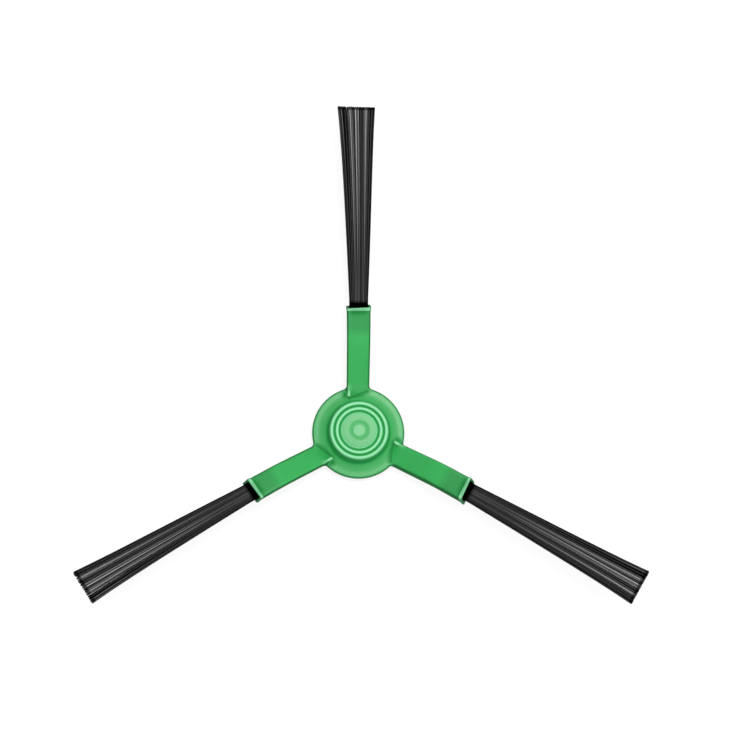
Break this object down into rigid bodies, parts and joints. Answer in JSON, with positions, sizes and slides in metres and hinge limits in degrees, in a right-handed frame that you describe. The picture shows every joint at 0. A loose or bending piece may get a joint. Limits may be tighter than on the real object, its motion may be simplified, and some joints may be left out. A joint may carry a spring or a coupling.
{
  "type": "robot vacuum side brush",
  "caption": "Push-on side brush for a robot vacuum: a round hub with ringed boss and slanted arms that rise and bend flat, each holding a fan of stiff bristles that sweeps dust from edges.",
  "frame": {"origin": "on the drive axis, in the plane of the skirt's rim", "axes": "+Z along the drive axis, out of the ringed boss that faces the floor in use; +Y along one arm"},
  "size_m": [0.1306, 0.1133, 0.0132],
  "materials": {
    "hub_plastic": "satin green injection-moulded plastic",
    "bristle": "black synthetic filament"
  },
  "bodies": {
    "root": {"hub": "hub_plastic", "bristle_tuft_1": "bristle", "bristle_tuft_2": "bristle", "bristle_tuft_3": "bristle"}
  },
  "joints": []
}
